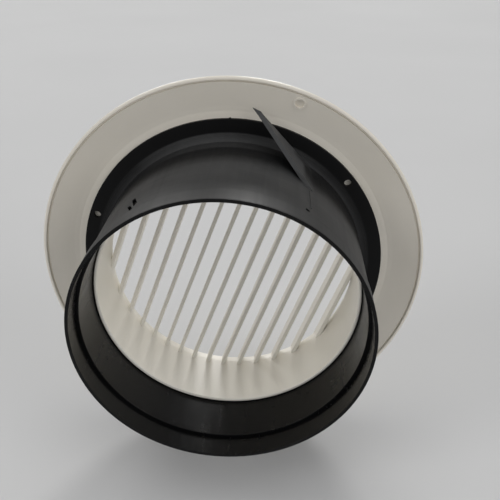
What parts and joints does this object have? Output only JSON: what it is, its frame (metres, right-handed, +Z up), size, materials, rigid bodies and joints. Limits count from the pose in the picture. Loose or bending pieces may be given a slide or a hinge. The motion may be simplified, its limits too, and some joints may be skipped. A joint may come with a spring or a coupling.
{
  "type": "round vent grille",
  "caption": "Round louvred vent grille: a dished front face whose collar plugs into a flanged duct collar with springy retaining leaves.",
  "frame": {"origin": "on the duct axis, in the plane of the wall side edge of the front face's lip, where the face meets the wall", "axes": "+Y along the duct axis from the mouth to the louvred front, which faces into the room; +Z up; +X completes the frame. The parts keep the turn about Y that they have in the picture"},
  "size_m": [0.218, 0.0825, 0.218],
  "materials": {
    "grille_face": "moulded semi-gloss white plastic",
    "duct_collar": "moulded semi-gloss black plastic"
  },
  "bodies": {
    "root": {"grille_face": "grille_face", "duct_collar": "duct_collar"}
  },
  "joints": []
}
